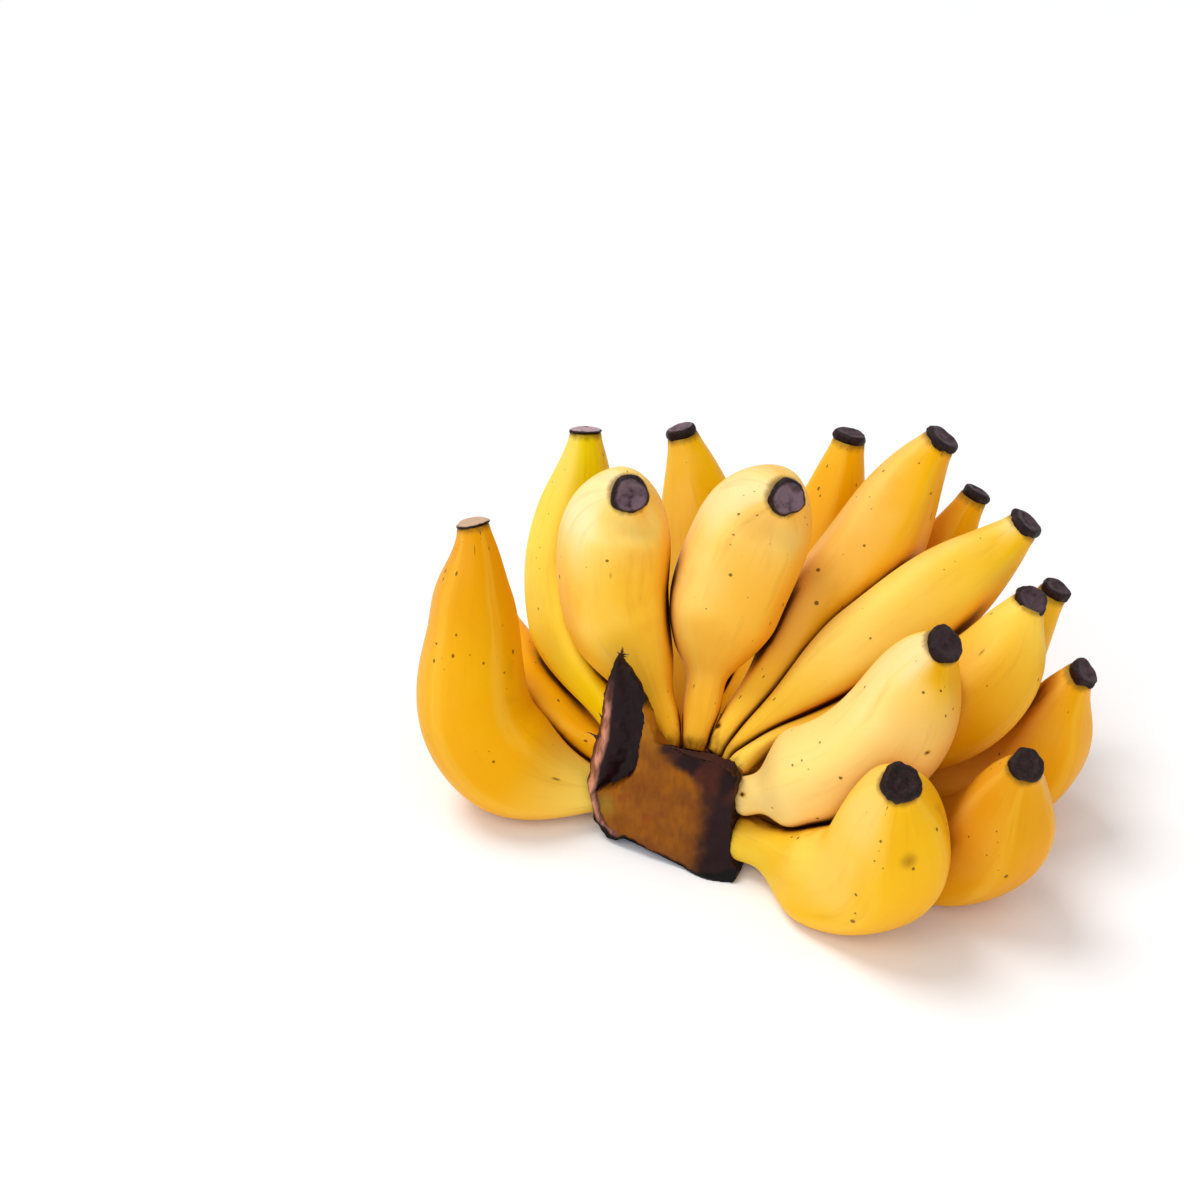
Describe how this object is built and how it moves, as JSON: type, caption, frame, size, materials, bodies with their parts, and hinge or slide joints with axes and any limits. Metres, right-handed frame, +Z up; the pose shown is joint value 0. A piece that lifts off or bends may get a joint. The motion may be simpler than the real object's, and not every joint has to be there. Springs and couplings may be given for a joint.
{
  "type": "bunch of bananas",
  "caption": "Hand of short, fat ripe bananas fanning in a double row from a dark cut crown, lying on its outer row with the fruit tips up.",
  "frame": {"origin": "a point in the middle of the crown's flat underside, on the surface that the hand lies on", "axes": "+Z up from that surface, +X along the fan's longest side, and the crown's cut face looks towards -Y and a little towards -X"},
  "size_m": [0.2327, 0.183, 0.1214],
  "materials": {
    "peel": "satin ripe banana skin, golden yellow with greener, creamier and tanner fruits, fine brown specks",
    "flower_end": "dry, wrinkled, nearly black purple-brown",
    "crown": "cut and dried stalk, orange-brown with a glossy near-black hollow"
  },
  "bodies": {
    "root": {"banana_inner_1": "peel", "banana_inner_2": "peel", "banana_inner_3": "peel", "banana_inner_4": "peel", "banana_inner_5": "peel", "banana_inner_6": "peel", "banana_inner_7": "peel", "banana_inner_8": "peel", "banana_outer_1": "peel", "banana_outer_2": "peel", "banana_outer_3": "peel", "banana_outer_4": "peel", "banana_outer_5": "peel", "banana_outer_6": "peel", "banana_outer_7": "peel", "banana_outer_8": "peel", "flower_end_inner_1": "flower_end", "flower_end_inner_2": "flower_end", "flower_end_inner_3": "flower_end", "flower_end_inner_4": "flower_end", "flower_end_inner_5": "flower_end", "flower_end_inner_6": "flower_end", "flower_end_inner_7": "flower_end", "flower_end_inner_8": "flower_end", "flower_end_outer_1": "flower_end", "flower_end_outer_2": "flower_end", "flower_end_outer_3": "flower_end", "flower_end_outer_4": "flower_end", "flower_end_outer_5": "flower_end", "flower_end_outer_6": "flower_end", "flower_end_outer_7": "flower_end", "flower_end_outer_8": "flower_end", "crown": "crown"}
  },
  "joints": []
}
